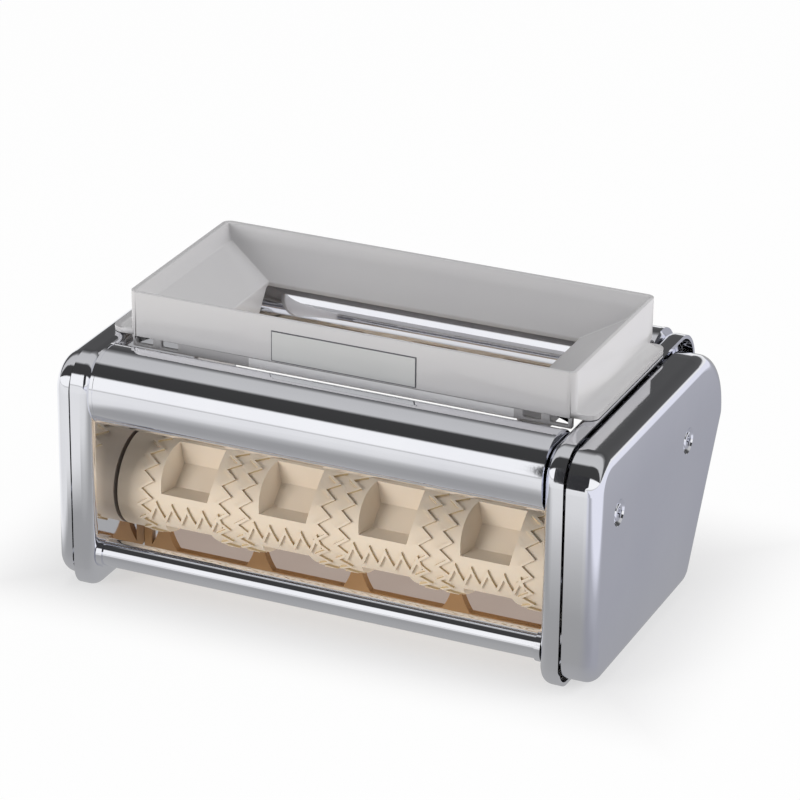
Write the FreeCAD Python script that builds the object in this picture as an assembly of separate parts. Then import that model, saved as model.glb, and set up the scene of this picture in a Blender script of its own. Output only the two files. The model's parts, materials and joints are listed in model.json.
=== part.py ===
import FreeCAD, Part
import math
import os

# A hand cranked ravioli maker: two chrome side frames with rounded side covers carry a pair of
# geared forming rollers, two rolled top covers, tie rods and a lift-off plastic hopper.
# Millimetres. X runs along the rollers, Y runs to the back, Z is up. While it is modelled the
# part stands with the front of its frames at Y = 0 and X = 0 halfway between them; at the end it
# is moved so that the origin lies at the bottom centre of its bounding box.

Vector = FreeCAD.Vector
X_AXIS = Vector(1, 0, 0)
Y_AXIS = Vector(0, 1, 0)
SIDES = (-1, 1)

# Overall shape of the sides, seen along X
BODY_DEPTH = 125.0
FRAME_HEIGHT = 88.5
REAR_FOOT_SETBACK = 32.6
REAR_KNEE_Z = 57.0
REAR_FOOT_RADIUS = 8.6
REAR_KNEE_RADIUS = 8.0

# Widths along X; the right cover is deeper than the left one
INNER_WIDTH = 169.3
FRAME_FLANGE = 7.6
SEAM_GAP = 0.8
LEFT_COVER_DEPTH = 6.55
RIGHT_COVER_DEPTH = 11.55

# Frames
FRAME_SHEET = 1.4
FRAME_EDGE_RADIUS = 4.0
FRAME_FRONT_FOOT_RADIUS = 9.0
FRAME_FRONT_TOP_RADIUS = 12.0
FRAME_REAR_TOP_RADIUS = 14.3

# Side covers
COVER_SHEET = 1.0
COVER_EDGE_RADIUS = 5.0
COVER_INSET = 0.5
COVER_LIFT = 2.5
COVER_DROP = 1.1
COVER_FRONT_FOOT_RADIUS = 10.0
COVER_FRONT_TOP_RADIUS = 12.4
COVER_REAR_TOP_RADIUS = 28.0

# Rollers
ROLLER_FRONT_Y = 35.0
ROLLER_Z = 31.7
ROLLER_RADIUS = 17.5
NIP_GAP = 0.2
ROLLER_END_GAP = 0.8
COLUMNS = 4
ROWS = 3
COLUMN_PITCH = 38.3
CELL_WIDTH = 30.4

# Crimping ridges: zigzag rings round each cell column, zigzag bars between the rows
RIDGE_HEIGHT = 0.9
RIDGE_WIDTH = 1.0
RIDGE_ROOT = 0.6
RING_SWING = 4.5
TEETH_PER_ROW = 6
RING_PHASE = 14.0
BAR_SWING = 6.4
BAR_TEETH = 5
BAR_ANGLE = -12.5

# Ravioli pockets: drafted recesses with a flat floor
POCKET_FLOOR_RADIUS = 8.9
POCKET_FLOOR_WIDTH = 14.6
POCKET_FLOOR_HEIGHT = 9.4
POCKET_END_SLOPE = 0.33
POCKET_SIDE_SLOPE = 1.09
POCKET_CUT_HEIGHT = 11.0

# Shafts, keys and bushes
SHAFT_RADIUS = 4.0
RUNNING_GAP = 0.05
KEY_WIDTH = 3.0
KEY_HEIGHT = 3.0
KEY_LENGTH = 18.0
KEY_INSET = 6.0
KEY_TOP_GAP = 0.2
BUSH_WALL = 2.2
BUSH_LENGTH = 4.0
BUSH_FLANGE_WALL = 2.4
BUSH_FLANGE_THICKNESS = 1.4
RING_THICKNESS = 1.0
RING_WALL = 2.4
RING_GROOVE_DEPTH = 0.6
RING_MOUTH = 3.0
RING_SIDE_GAP = 0.3
GEAR_SIDE_GAP = 0.6
SHAFT_TAIL = 1.0
SHAFT_FLAT = 0.8

# Gears
ROLLER_GEAR_TEETH = 20
DRIVEN_GEAR_TEETH = 24
PINION_TEETH = 12
PRESSURE_ANGLE = 25.0
GEAR_BACKLASH = 0.25
GEAR_WIDTH = 5.5
GEAR_TIP_FACTOR = 0.9
GEAR_ROOT_FACTOR = 1.2
FLANK_STEPS = 5

# Crank socket
CRANK_Z = 60.7
SOCKET_RADIUS = 6.0
SOCKET_BORE_RADIUS = 4.0
SOCKET_BORE_DEPTH = 15.0
SOCKET_SLOT_WIDTH = 2.2
SOCKET_SLOT_DEPTH = 1.2
SOCKET_SLOT_LENGTH = 6.0
SOCKET_PROUD = 1.2
SOCKET_COVER_GAP = 0.5

# Rolled top covers and the discs that close their ends against the frames
TOP_COVER_RADIUS = 14.35
TOP_COVER_SHEET = 1.0
TOP_COVER_FRONT_Y = 14.1
TOP_COVER_REAR_SETBACK = 14.5
TOP_COVER_Z = 75.6
TOP_COVER_LIP_ANGLE = 52.0
TOP_COVER_TAIL_ANGLE = 35.0
END_DISC_THICKNESS = 1.2
END_DISC_LIP = 0.15

# Tie rods
TIE_ROD_RADIUS = 5.0
TIE_ROD_FRONT_Y = 7.5
TIE_ROD_FRONT_Z = 13.6
TIE_ROD_REAR_SETBACK = 7.4
TIE_ROD_REAR_Z = 10.0
UPPER_ROD_RADIUS = 4.0
FERRULE_LENGTH = 2.2
FERRULE_WALL = 0.7
SCREW_RADIUS = 2.0
SCREW_LENGTH = 14.0
SCREW_HEAD_RADIUS = 3.3
SCREW_HEAD_HEIGHT = 2.0
SCREW_SLOT_WIDTH = 0.9
SCREW_SLOT_DEPTH = 0.9
WASHER_RADIUS = 3.45
WASHER_THICKNESS = 0.8
HOLE_GAP = 0.2

# Side cover screws, their dimples and the posts that they go into
COVER_SCREW_FRONT_Y = 20.5
COVER_SCREW_FRONT_Z = 61.9
COVER_SCREW_REAR_SETBACK = 38.3
COVER_SCREW_REAR_Z = 60.9
POST_RADIUS = 4.2
POST_SHANK_RADIUS = 2.4
COVER_SCREW_RADIUS = 1.8
COVER_SCREW_LENGTH = 8.0
COVER_SCREW_HEAD_RADIUS = 3.3
DIMPLE_DEPTH = 1.4
DIMPLE_RADIUS = 4.8
DIMPLE_FLOOR_RADIUS = 3.8

# Hopper
HOPPER_FRONT_Y = 29.0
HOPPER_DEPTH = 76.0
HOPPER_WIDTH = 168.0
HOPPER_BASE_GAP = 0.2
HOPPER_HEIGHT = 16.4
HOPPER_WALL = 1.8
HOPPER_CORNER_RADIUS = 3.0
MOUTH_WIDTH = 121.0
MOUTH_FRONT_Y = 36.0
MOUTH_BACK_Y = 92.0
MOUTH_DROP = 15.6
FUNNEL_BAND_DEPTH = 6.0
FUNNEL_BAND_INSET = 2.0
FUNNEL_SHEET = 1.8
CHEEK_DROP = 22.0
CHEEK_RAKE = 0.72
CHEEK_SHEET = 1.8
FOOT_REACH = 91.5
FOOT_FRONT_Y = 29.5
FOOT_BACK_Y = 97.0
FOOT_THICKNESS = 1.8
FOOT_CORNER_RADIUS = 4.0
SKIRT_DROP = 4.4
SKIRT_SHEET = 1.8
SKIRT_RECESS = 0.8
SKIRT_HALF = 83.0
WINDOW_WIDTH = 6.3
WINDOW_HEIGHT = 3.0
WINDOW_STARTS = (65.4, 75.2)
DOUGH_GAP = 2.5
LABEL_LEFT_X = -28.6
LABEL_WIDTH = 54.8
LABEL_HEIGHT = 11.4
LABEL_THICKNESS = 0.7
LABEL_SINK = 0.4
LABEL_LIFT = 0.3

# Scraper combs below the rollers
COMB_OFFSET_Y = 5.0
COMB_Z = 0.8
COMB_BAR_DEPTH = 3.0
COMB_BAR_HEIGHT = 1.6
COMB_LUG_WIDTH = 3.0
COMB_LUG_HEIGHT = 9.0
COMB_END_GAP = 0.1
COMB_FINGER_FOOT = 13.0
COMB_FINGER_TIP = 3.0
COMB_TIP_HEIGHT = 12.8
COMB_FINGER_STEPS = 6
COMB_FINGER_GAP = 0.5
COMB_SCREW_DROP = 2.6
COMB_SCREW_RADIUS = 0.9
COMB_SCREW_HEAD_RADIUS = 2.2
COMB_SCREW_HEAD_HEIGHT = 1.2
COMB_SCREW_LENGTH = 4.2

# Mounting rails on the raked rear edges
RAIL_START = 21.0
RAIL_LENGTH = 26.0
RAIL_EDGE_GAP = 1.5
RAIL_LEG = 8.0
RAIL_HOOK = 5.0
RAIL_THICKNESS = 2.0

# Places that follow from the sizes above
HALF_INNER = INNER_WIDTH / 2
REAR_FOOT_Y = BODY_DEPTH - REAR_FOOT_SETBACK
TOP_COVER_REAR_Y = BODY_DEPTH - TOP_COVER_REAR_SETBACK
TIE_ROD_REAR_Y = REAR_FOOT_Y - TIE_ROD_REAR_SETBACK
COVER_SCREW_PLACES = (
    (COVER_SCREW_FRONT_Y, COVER_SCREW_FRONT_Z),
    (BODY_DEPTH - COVER_SCREW_REAR_SETBACK, COVER_SCREW_REAR_Z),
)
PLATE_OUTER = HALF_INNER + FRAME_SHEET
FRAME_OUTER = HALF_INNER + FRAME_FLANGE
COVER_START = FRAME_OUTER + SEAM_GAP
COVER_ENDS = {-1: COVER_START + LEFT_COVER_DEPTH, 1: COVER_START + RIGHT_COVER_DEPTH}
DIMPLE_FLOORS = {side: COVER_ENDS[side] - DIMPLE_DEPTH for side in SIDES}
POST_ENDS = {side: DIMPLE_FLOORS[side] - COVER_SHEET for side in SIDES}
RIDGE_RADIUS = ROLLER_RADIUS + RIDGE_HEIGHT
ROLLER_SPACING = 2 * RIDGE_RADIUS + NIP_GAP
ROLLER_REAR_Y = ROLLER_FRONT_Y + ROLLER_SPACING
NIP_Y = ROLLER_FRONT_Y + ROLLER_SPACING / 2
ROLLER_HALF = HALF_INNER - ROLLER_END_GAP
GEAR_MODULE = ROLLER_SPACING / ROLLER_GEAR_TEETH
SHAFT_BORE = SHAFT_RADIUS + RUNNING_GAP
BUSH_RADIUS = SHAFT_BORE + BUSH_WALL
BUSH_END = HALF_INNER + BUSH_LENGTH
CRANK_BUSH_RADIUS = SOCKET_RADIUS + RUNNING_GAP + BUSH_WALL
GEAR_START = BUSH_END + GEAR_SIDE_GAP
GEAR_END = GEAR_START + GEAR_WIDTH
PLAIN_SHAFT_END = BUSH_END + RING_SIDE_GAP + RING_THICKNESS + SHAFT_TAIL
GEARED_SHAFT_END = GEAR_END + RING_THICKNESS + SHAFT_TAIL
CRANK_DISTANCE = GEAR_MODULE * (DRIVEN_GEAR_TEETH + PINION_TEETH) / 2
CRANK_Y = ROLLER_REAR_Y - math.sqrt(CRANK_DISTANCE ** 2 - (CRANK_Z - ROLLER_Z) ** 2)
HOPPER_BASE = FRAME_HEIGHT + HOPPER_BASE_GAP
HOPPER_TOP = HOPPER_BASE + HOPPER_HEIGHT
HOPPER_BACK_Y = HOPPER_FRONT_Y + HOPPER_DEPTH
MOUTH_Z = HOPPER_TOP - MOUTH_DROP
TIE_RODS = (
    (TIE_ROD_FRONT_Y, TIE_ROD_FRONT_Z, TIE_ROD_RADIUS),
    (TIE_ROD_REAR_Y, TIE_ROD_REAR_Z, TIE_ROD_RADIUS),
    (TOP_COVER_FRONT_Y, TOP_COVER_Z, UPPER_ROD_RADIUS),
    (TOP_COVER_REAR_Y, TOP_COVER_Z, UPPER_ROD_RADIUS),
)
SOCKET_END = COVER_ENDS[-1] + SOCKET_PROUD
FRONT_REACH = TOP_COVER_RADIUS + END_DISC_LIP - TOP_COVER_FRONT_Y
ORIGIN_SHIFT = Vector((SOCKET_END - COVER_ENDS[1]) / 2, (FRONT_REACH - BODY_DEPTH) / 2, 0)


# Basic shapes

def cylinder(y, z, radius, x_start, x_end):
    """A cylinder along X between two X positions."""
    low = min(x_start, x_end)
    return Part.makeCylinder(radius, abs(x_end - x_start), Vector(low, y, z), X_AXIS)


def cone(y, z, start_radius, end_radius, x_start, x_end):
    """A cone along X; its radii belong to x_start and x_end."""
    if x_end < x_start:
        x_start, x_end = x_end, x_start
        start_radius, end_radius = end_radius, start_radius
    return Part.makeCone(start_radius, end_radius, x_end - x_start, Vector(x_start, y, z), X_AXIS)


def box(x_range, y_range, z_range):
    """A box from its lowest and highest coordinates, in any order."""
    low = Vector(min(x_range), min(y_range), min(z_range))
    sizes = [max(r) - min(r) for r in (x_range, y_range, z_range)]
    return Part.makeBox(*sizes, low)


def fuse(shapes):
    """One solid out of several that touch or overlap."""
    return shapes[0].multiFuse(shapes[1:]).removeSplitter()


def group(shapes):
    """Separate solids in one node."""
    return Part.makeCompound([solid for shape in shapes for solid in shape.Solids])


def rounded_outline(x, corners, inset=0.0):
    """A closed wire in the plane X = x through (y, z, radius) corners, moved inward by inset."""
    count = len(corners)
    edges = []
    for index in range(count):
        y0, z0 = corners[index][:2]
        y1, z1 = corners[(index + 1) % count][:2]
        length = math.hypot(y1 - y0, z1 - z0)
        direction = ((y1 - y0) / length, (z1 - z0) / length)
        edges.append((y0 - direction[1] * inset, z0 + direction[0] * inset, direction))
    points = []
    for index in range(count):
        ya, za, da = edges[index - 1]
        yb, zb, db = edges[index]
        cross = da[0] * db[1] - da[1] * db[0]
        along = ((yb - ya) * db[1] - (zb - za) * db[0]) / cross
        turn = math.asin(max(-1.0, min(1.0, cross)))
        points.append((ya + da[0] * along, za + da[1] * along, da, db, turn))
    pieces = []
    starts = []
    ends = []
    for index in range(count):
        y, z, da, db, turn = points[index]
        radius = corners[index][2] - inset
        reach = radius * math.tan(turn / 2)
        starts.append(Vector(x, y - da[0] * reach, z - da[1] * reach))
        ends.append(Vector(x, y + db[0] * reach, z + db[1] * reach))
        bisector = (db[0] - da[0], db[1] - da[1])
        size = math.hypot(*bisector)
        sagitta = radius / math.cos(turn / 2) - radius
        middle = Vector(x, y + bisector[0] / size * sagitta, z + bisector[1] / size * sagitta)
        pieces.append(Part.Arc(starts[-1], middle, ends[-1]).toShape())
    for index in range(count):
        following = (index + 1) % count
        if ends[index].distanceToPoint(starts[following]) > 1e-6:
            pieces.append(Part.LineSegment(ends[index], starts[following]).toShape())
    return Part.Wire(Part.__sortEdges__(pieces))


def side_corners(bottom, top, front_foot_radius, front_top_radius, rear_top_radius):
    """Corners of a side profile between two heights."""
    slope = (BODY_DEPTH - REAR_FOOT_Y) / REAR_KNEE_Z
    return (
        (0.0, bottom, front_foot_radius),
        (REAR_FOOT_Y + slope * bottom, bottom, REAR_FOOT_RADIUS),
        (BODY_DEPTH, REAR_KNEE_Z, REAR_KNEE_RADIUS),
        (BODY_DEPTH, top, rear_top_radius),
        (0.0, top, front_top_radius),
    )


def tray(closed_x, open_x, corners, inset, sheet, edge_radius):
    """A pressed sheet tray: a plate at closed_x and a flange that runs to open_x."""
    side = 1 if open_x > closed_x else -1
    bodies = []
    for depth, radius in ((0.0, edge_radius), (sheet, edge_radius - sheet)):
        start = closed_x + side * depth
        face = Part.Face(rounded_outline(start, corners, inset + depth))
        solid = face.extrude(Vector(open_x - start, 0, 0))
        rim = [e for e in solid.Edges if all(abs(v.X - start) < 1e-6 for v in e.Vertexes)]
        bodies.append(solid.makeFillet(radius, rim))
    return bodies[0].cut(bodies[1])


# Frames and covers

def frame_holes(side):
    """Everything that passes through a frame plate."""
    start = side * (HALF_INNER - 1)
    end = side * (PLATE_OUTER + 1)
    holes = [cylinder(y, ROLLER_Z, BUSH_RADIUS, start, end) for y in (ROLLER_FRONT_Y, ROLLER_REAR_Y)]
    holes += [cylinder(y, z, SCREW_RADIUS + HOLE_GAP, start, end) for y, z, _ in TIE_RODS]
    holes += [cylinder(y, z, POST_SHANK_RADIUS, start, end) for y, z in COVER_SCREW_PLACES]
    holes += [cylinder(y, z, COMB_SCREW_RADIUS + HOLE_GAP, start, end) for y, z in comb_screw_places()]
    if side < 0:
        holes.append(cylinder(CRANK_Y, CRANK_Z, CRANK_BUSH_RADIUS, start, end))
    return holes


def side_frame(side):
    """Pressed frame that stands on its flange and carries the rollers and tie rods."""
    corners = side_corners(0.0, FRAME_HEIGHT, FRAME_FRONT_FOOT_RADIUS, FRAME_FRONT_TOP_RADIUS,
                           FRAME_REAR_TOP_RADIUS)
    frame = tray(side * HALF_INNER, side * FRAME_OUTER, corners, 0.0, FRAME_SHEET, FRAME_EDGE_RADIUS)
    return frame.cut(frame_holes(side))


def side_cover(side):
    """Rounded outer shell with two dimples for its screws; the left one has the crank hole."""
    corners = side_corners(COVER_LIFT, FRAME_HEIGHT - COVER_DROP, COVER_FRONT_FOOT_RADIUS,
                           COVER_FRONT_TOP_RADIUS, COVER_REAR_TOP_RADIUS)
    end = side * COVER_ENDS[side]
    floor = side * DIMPLE_FLOORS[side]
    cover = tray(end, side * COVER_START, corners, COVER_INSET, COVER_SHEET, COVER_EDGE_RADIUS)
    for y, z in COVER_SCREW_PLACES:
        wall = cylinder(y, z, DIMPLE_RADIUS + COVER_SHEET, side * POST_ENDS[side], end - side * COVER_SHEET)
        dimple = cone(y, z, DIMPLE_FLOOR_RADIUS, DIMPLE_RADIUS, floor, end)
        hole = cylinder(y, z, COVER_SCREW_RADIUS + HOLE_GAP, side * PLATE_OUTER, end)
        cover = cover.fuse(wall).cut([dimple, hole])
    if side < 0:
        crank_hole_radius = SOCKET_RADIUS + SOCKET_COVER_GAP
        cover = cover.cut(cylinder(CRANK_Y, CRANK_Z, crank_hole_radius, -PLATE_OUTER, end - 1))
    return cover


def cover_posts():
    """Riveted posts between the frame plates and the side covers."""
    posts = []
    for side in SIDES:
        end = side * POST_ENDS[side]
        for y, z in COVER_SCREW_PLACES:
            post = cylinder(y, z, POST_RADIUS, side * PLATE_OUTER, end)
            shank = cylinder(y, z, POST_SHANK_RADIUS, side * HALF_INNER, side * PLATE_OUTER)
            tapped = cylinder(y, z, COVER_SCREW_RADIUS, side * (DIMPLE_FLOORS[side] - COVER_SCREW_LENGTH), end)
            posts.append(post.fuse(shank).removeSplitter().cut(tapped))
    return group(posts)


def cross_head_screw(side, y, z, seat, head_radius, head_height, radius, length):
    """A screw along X whose head stands outward from seat, with a cross recess."""
    top = side * (seat + head_height)
    head = cylinder(y, z, head_radius, side * seat, top)
    outer_edge = [e for e in head.Edges if all(abs(v.X - top) < 1e-6 for v in e.Vertexes)
                  and e.Length > head_radius * 4]
    head = head.makeFillet(head_height * 0.6, outer_edge)
    shank = cylinder(y, z, radius, side * (seat - length), side * seat)
    slot_floor = side * (seat + head_height - SCREW_SLOT_DEPTH)
    reach = head_radius * 0.6
    half = SCREW_SLOT_WIDTH / 2
    across = box((slot_floor, top), (y - reach, y + reach), (z - half, z + half))
    upright = box((slot_floor, top), (y - half, y + half), (z - reach, z + reach))
    return head.fuse(shank).removeSplitter().cut([across, upright])


def cover_screws(side):
    """The two screws of one side cover, seated in its dimples."""
    return group([
        cross_head_screw(side, y, z, DIMPLE_FLOORS[side], COVER_SCREW_HEAD_RADIUS, DIMPLE_DEPTH,
                         COVER_SCREW_RADIUS, COVER_SCREW_LENGTH)
        for y, z in COVER_SCREW_PLACES
    ])


def top_cover(y, toward_front):
    """Rolled sheet that guides a dough sheet: open below, its lip turned to the outside."""
    half = HALF_INNER - END_DISC_THICKNESS
    tube = cylinder(y, TOP_COVER_Z, TOP_COVER_RADIUS, -half, half)
    tube = tube.cut(cylinder(y, TOP_COVER_Z, TOP_COVER_RADIUS - TOP_COVER_SHEET, -half, half))
    reach = 2 * TOP_COVER_RADIUS
    lip = math.radians(180 + TOP_COVER_LIP_ANGLE)
    tail = math.radians(360 - TOP_COVER_TAIL_ANGLE)
    middle = (lip + tail) / 2
    gap = [(0.0, 0.0)]
    for angle in (lip, middle, tail):
        gap.append((reach * math.cos(angle), reach * math.sin(angle)))
    facing = 1 if toward_front else -1
    outline = [Vector(-half, y + facing * py, TOP_COVER_Z + pz) for py, pz in gap]
    opening = Part.Face(Part.makePolygon(outline + outline[:1])).extrude(Vector(2 * half, 0, 0))
    return tube.cut(opening)


def top_cover_discs():
    """Discs on the upper rods that close and centre the ends of the top covers."""
    discs = []
    for side in SIDES:
        ends = (side * (HALF_INNER - END_DISC_THICKNESS), side * HALF_INNER)
        for y in (TOP_COVER_FRONT_Y, TOP_COVER_REAR_Y):
            disc = cylinder(y, TOP_COVER_Z, TOP_COVER_RADIUS + END_DISC_LIP, *ends)
            discs.append(disc.cut(cylinder(y, TOP_COVER_Z, UPPER_ROD_RADIUS, *ends)))
    return group(discs)


# Tie rods and their screws

def tie_rod(place):
    """A rod between the frames, tapped at both ends."""
    y, z, radius = place
    rod = cylinder(y, z, radius, -HALF_INNER, HALF_INNER)
    tapped = [
        cylinder(y, z, SCREW_RADIUS, side * (PLATE_OUTER + WASHER_THICKNESS - SCREW_LENGTH), side * HALF_INNER)
        for side in SIDES
    ]
    return rod.cut(tapped)


def tie_rod_ferrules():
    """Thin rings round the ends of the two lower rods, against the frames."""
    rings = []
    for y, z, radius in TIE_RODS[:2]:
        for side in SIDES:
            ends = (side * (HALF_INNER - FERRULE_LENGTH), side * HALF_INNER)
            ring = cylinder(y, z, radius + FERRULE_WALL, *ends)
            rings.append(ring.cut(cylinder(y, z, radius, *ends)))
    return group(rings)


def tie_rod_screws():
    """Eight screws that pull the frames onto the rods."""
    seat = PLATE_OUTER + WASHER_THICKNESS
    return group([
        cross_head_screw(side, y, z, seat, SCREW_HEAD_RADIUS, SCREW_HEAD_HEIGHT, SCREW_RADIUS, SCREW_LENGTH)
        for side in SIDES for y, z, _ in TIE_RODS
    ])


def tie_rod_washers():
    """A washer under each tie rod screw."""
    washers = []
    for side in SIDES:
        for y, z, _ in TIE_RODS:
            ends = (side * PLATE_OUTER, side * (PLATE_OUTER + WASHER_THICKNESS))
            washer = cylinder(y, z, WASHER_RADIUS, *ends)
            washers.append(washer.cut(cylinder(y, z, SCREW_RADIUS + HOLE_GAP, *ends)))
    return group(washers)


# Forming rollers. Angles are counted from the front of the front roller, upward; the rear
# roller is its mirror image, so the two patterns meet in the nip.

def roller_point(angle, radius, x):
    """A point at an angle and a radius on the front roller."""
    turn = math.radians(angle)
    return Vector(x, ROLLER_FRONT_Y - radius * math.cos(turn), ROLLER_Z + radius * math.sin(turn))


def roller_directions(angle):
    """The directions outward and upward round the front roller at an angle."""
    turn = math.radians(angle)
    return Vector(0, -math.cos(turn), math.sin(turn)), Vector(0, math.sin(turn), math.cos(turn))


def flat_face(points):
    """A flat face through a closed loop of points."""
    return Part.Face(Part.makePolygon(list(points) + [points[0]]))


def ridge_ring(centre_x):
    """A zigzag ridge right round a roller, made of flat-sided lengths between its tips."""
    tips = 2 * ROWS * TEETH_PER_ROW
    step = 360.0 / tips
    inner = ROLLER_RADIUS - RIDGE_ROOT
    lean = RING_SWING / (2 * RIDGE_RADIUS) * (RIDGE_RADIUS - inner)
    tip_spacing = RIDGE_RADIUS * math.radians(step)
    half_width = RIDGE_WIDTH / 2 * math.hypot(1, RING_SWING / tip_spacing)
    sections = []
    for tip in range(tips):
        side = -1 if tip % 2 == 0 else 1
        angle = RING_PHASE + tip * step
        outer_x = centre_x + side * RING_SWING / 2
        inner_x = outer_x - side * lean
        sections.append([
            roller_point(angle, radius, x + half)
            for radius, x, half in (
                (inner, inner_x, -half_width),
                (RIDGE_RADIUS, outer_x, -half_width),
                (RIDGE_RADIUS, outer_x, half_width),
                (inner, inner_x, half_width),
            )
        ])
    faces = []
    for tip in range(tips):
        here = sections[tip]
        there = sections[(tip + 1) % tips]
        for corner in range(4):
            following = (corner + 1) % 4
            faces.append(flat_face([here[corner], here[following], there[following], there[corner]]))
    ring = Part.makeSolid(Part.makeShell(faces))
    if ring.Volume < 0:
        ring.reverse()
    return ring


def ridge_bar(centre_x, angle):
    """The zigzag ridge between two cells of a column, cut to the height of the rings."""
    pitch = CELL_WIDTH / BAR_TEETH
    stops = [-CELL_WIDTH / 2]
    lifts = [0.0]
    for index in range(2 * BAR_TEETH):
        stops.append(-CELL_WIDTH / 2 + (index + 0.5) * pitch / 2)
        lifts.append((-1 if index % 2 == 0 else 1) * BAR_SWING / 2)
    stops.append(CELL_WIDTH / 2)
    lifts.append(0.0)
    rise = math.atan2(BAR_SWING, pitch / 2)
    half = RIDGE_WIDTH / 2 / math.cos(rise)
    outward, upward = roller_directions(angle)
    base = Vector(centre_x, ROLLER_FRONT_Y, ROLLER_Z) + outward * (ROLLER_RADIUS - 2 * RIDGE_ROOT)
    loop = [base + X_AXIS * s + upward * (v - half) for s, v in zip(stops, lifts)]
    loop += [base + X_AXIS * s + upward * (v + half) for s, v in reversed(list(zip(stops, lifts)))]
    bar = flat_face(loop).extrude(outward * (2 * RIDGE_HEIGHT + 2 * RIDGE_ROOT))
    limit = cylinder(ROLLER_FRONT_Y, ROLLER_Z, RIDGE_RADIUS, centre_x - CELL_WIDTH, centre_x + CELL_WIDTH)
    return bar.common(limit)


def pocket(centre_x, angle):
    """The space of one ravioli pocket, from its flat floor out past the surface."""
    outward, upward = roller_directions(angle)
    wires = []
    for height in (0.0, POCKET_CUT_HEIGHT):
        floor = Vector(centre_x, ROLLER_FRONT_Y, ROLLER_Z) + outward * POCKET_FLOOR_RADIUS
        centre = floor + outward * height
        half_x = POCKET_FLOOR_WIDTH / 2 + POCKET_END_SLOPE * height
        half_t = POCKET_FLOOR_HEIGHT / 2 + POCKET_SIDE_SLOPE * height
        loop = [centre + X_AXIS * (sx * half_x) + upward * (st * half_t)
                for sx, st in ((-1, -1), (1, -1), (1, 1), (-1, 1))]
        wires.append(Part.makePolygon(loop + loop[:1]))
    return Part.makeLoft(wires, True, True)


def key_space(y, side, top_gap, to_the_end):
    """The space of a roller key above a shaft; in the roller it runs out to the end face."""
    outer = ROLLER_HALF if to_the_end else ROLLER_HALF - KEY_INSET
    inner = ROLLER_HALF - KEY_INSET - KEY_LENGTH
    low = ROLLER_Z + SHAFT_RADIUS - KEY_HEIGHT / 2
    return box((side * inner, side * outer), (y - KEY_WIDTH / 2, y + KEY_WIDTH / 2),
               (low, low + KEY_HEIGHT + top_gap))


def forming_roller():
    """The moulded front roller with its pockets and ridges."""
    core = cylinder(ROLLER_FRONT_Y, ROLLER_Z, ROLLER_RADIUS, -ROLLER_HALF, ROLLER_HALF)
    columns = [(index - (COLUMNS - 1) / 2) * COLUMN_PITCH for index in range(COLUMNS)]
    row_step = 360.0 / ROWS
    ridges = []
    pockets = []
    for centre_x in columns:
        for end in SIDES:
            ridges.append(ridge_ring(centre_x + end * CELL_WIDTH / 2))
        for row in range(ROWS):
            angle = BAR_ANGLE + row * row_step
            ridges.append(ridge_bar(centre_x, angle))
            pockets.append(pocket(centre_x, angle + row_step / 2))
    bore = cylinder(ROLLER_FRONT_Y, ROLLER_Z, SHAFT_RADIUS, -ROLLER_HALF, ROLLER_HALF)
    keyways = [key_space(ROLLER_FRONT_Y, side, KEY_TOP_GAP, True) for side in SIDES]
    return core.multiFuse(ridges).cut(pockets + [bore] + keyways)


def roller_keys(y):
    """Two keys that turn a roller with its shaft."""
    return group([key_space(y, side, 0.0, False) for side in SIDES])


def shaft_end(y, side, geared):
    """What is cut from a shaft beyond its bush: the ring groove and, under a gear, a flat."""
    ring_start = GEAR_END if geared else BUSH_END + RING_SIDE_GAP
    ends = (side * ring_start, side * (ring_start + RING_THICKNESS))
    groove = cylinder(y, ROLLER_Z, SHAFT_RADIUS + 1, *ends)
    groove = groove.cut(cylinder(y, ROLLER_Z, SHAFT_RADIUS - RING_GROOVE_DEPTH, *ends))
    if not geared:
        return [groove]
    return [groove, flat_cut(y, ROLLER_Z, SHAFT_RADIUS, side)]


def flat_cut(y, z, radius, side):
    """The material above the flat that a gear sits on."""
    return box((side * GEAR_START, side * GEAR_END), (y - radius, y + radius),
               (z + radius - SHAFT_FLAT, z + radius))


def roller_shaft(y, geared_sides):
    """A roller's steel shaft; on each geared side it is longer and has a flat."""
    ends = {side: GEARED_SHAFT_END if side in geared_sides else PLAIN_SHAFT_END for side in SIDES}
    shaft = cylinder(y, ROLLER_Z, SHAFT_RADIUS, -ends[-1], ends[1])
    for side in SIDES:
        shaft = shaft.cut(shaft_end(y, side, side in geared_sides))
    return shaft.cut([key_space(y, side, 0.0, False) for side in SIDES])


def retaining_ring(y, z, radius, side, start):
    """An open clip in a shaft groove."""
    ends = (side * start, side * (start + RING_THICKNESS))
    clip = cylinder(y, z, radius + RING_WALL, *ends)
    hole = cylinder(y, z, radius - RING_GROOVE_DEPTH, *ends)
    mouth = box(ends, (y - RING_MOUTH / 2, y + RING_MOUTH / 2), (z - radius - RING_WALL, z))
    return clip.cut([hole, mouth])


def roller_rings(y, geared_sides):
    """The clips at both ends of a roller shaft."""
    rings = []
    for side in SIDES:
        start = GEAR_END if side in geared_sides else BUSH_END + RING_SIDE_GAP
        rings.append(retaining_ring(y, ROLLER_Z, SHAFT_RADIUS, side, start))
    return group(rings)


def flanged_bush(side, y, z, bore_radius, outer_radius):
    """A bush pressed into a frame plate, its flange against the outside of the plate."""
    body = cylinder(y, z, outer_radius, side * HALF_INNER, side * BUSH_END)
    flange = cylinder(y, z, outer_radius + BUSH_FLANGE_WALL, side * PLATE_OUTER,
                      side * (PLATE_OUTER + BUSH_FLANGE_THICKNESS))
    bore = cylinder(y, z, bore_radius, side * HALF_INNER, side * BUSH_END)
    return body.fuse(flange).removeSplitter().cut(bore)


def roller_bushes():
    """The four bushes of the two roller shafts."""
    return group([
        flanged_bush(side, y, ROLLER_Z, SHAFT_BORE, BUSH_RADIUS)
        for side in SIDES for y in (ROLLER_FRONT_Y, ROLLER_REAR_Y)
    ])


# Gears

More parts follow.
